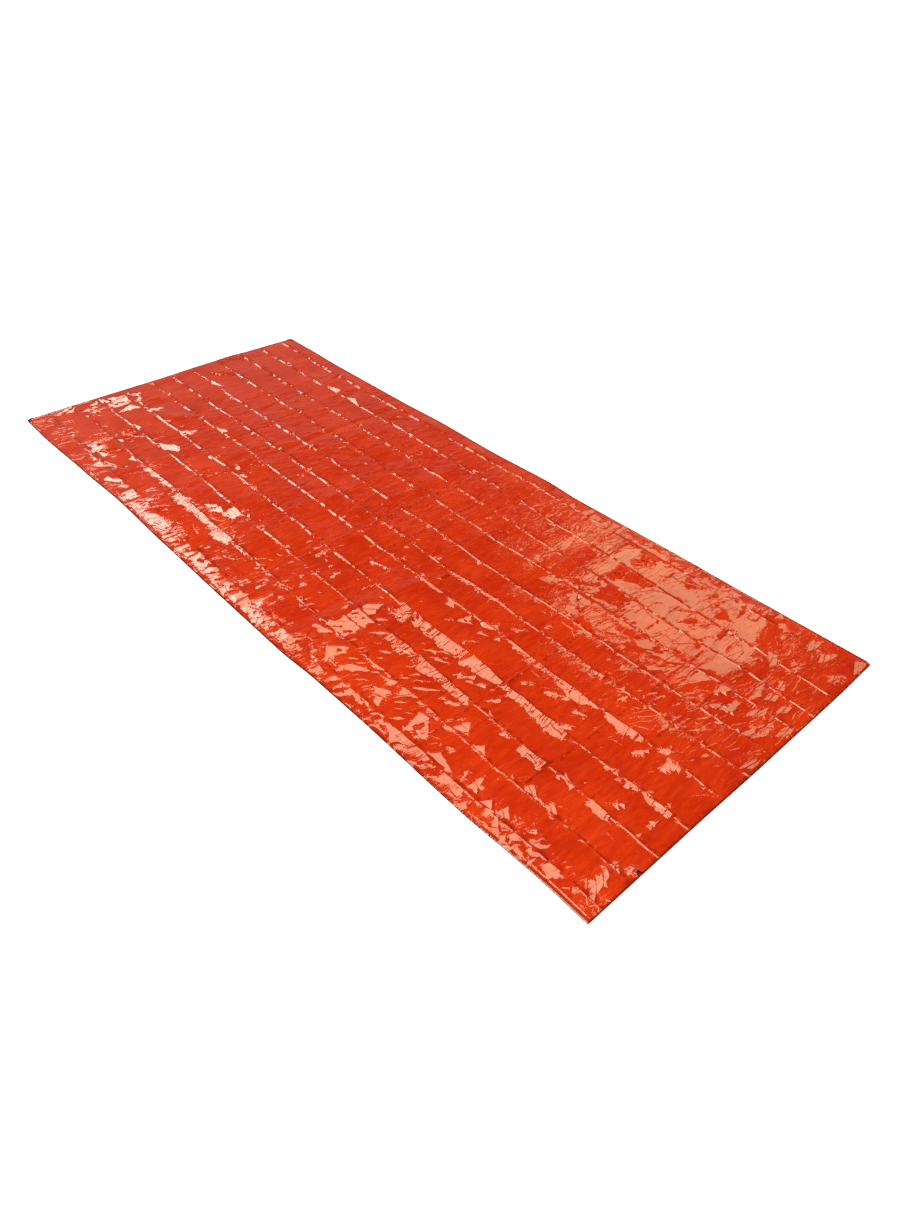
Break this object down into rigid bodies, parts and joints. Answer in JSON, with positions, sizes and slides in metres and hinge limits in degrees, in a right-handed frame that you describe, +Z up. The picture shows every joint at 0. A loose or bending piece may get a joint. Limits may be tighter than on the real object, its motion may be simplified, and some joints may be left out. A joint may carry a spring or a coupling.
{
  "type": "emergency sleeping bag",
  "caption": "Rectangular emergency sleeping bag of glossy orange film, welded along its sides and foot and open at the mouth, lying flat with the creases of its packet.",
  "frame": {"origin": "On the surface the bag lies on, under the middle of its outline", "axes": "+Z up, +Y towards the closed foot, +X to the right seen from the mouth"},
  "size_m": [0.9214, 2.146, 0.0121],
  "materials": {
    "film": "glossy crinkled orange film",
    "tab": "dull black corner tab"
  },
  "bodies": {
    "root": {"back_sheet": "film", "front_sheet": "film", "corner_tab_left": "tab", "corner_tab_right": "tab"}
  },
  "joints": []
}
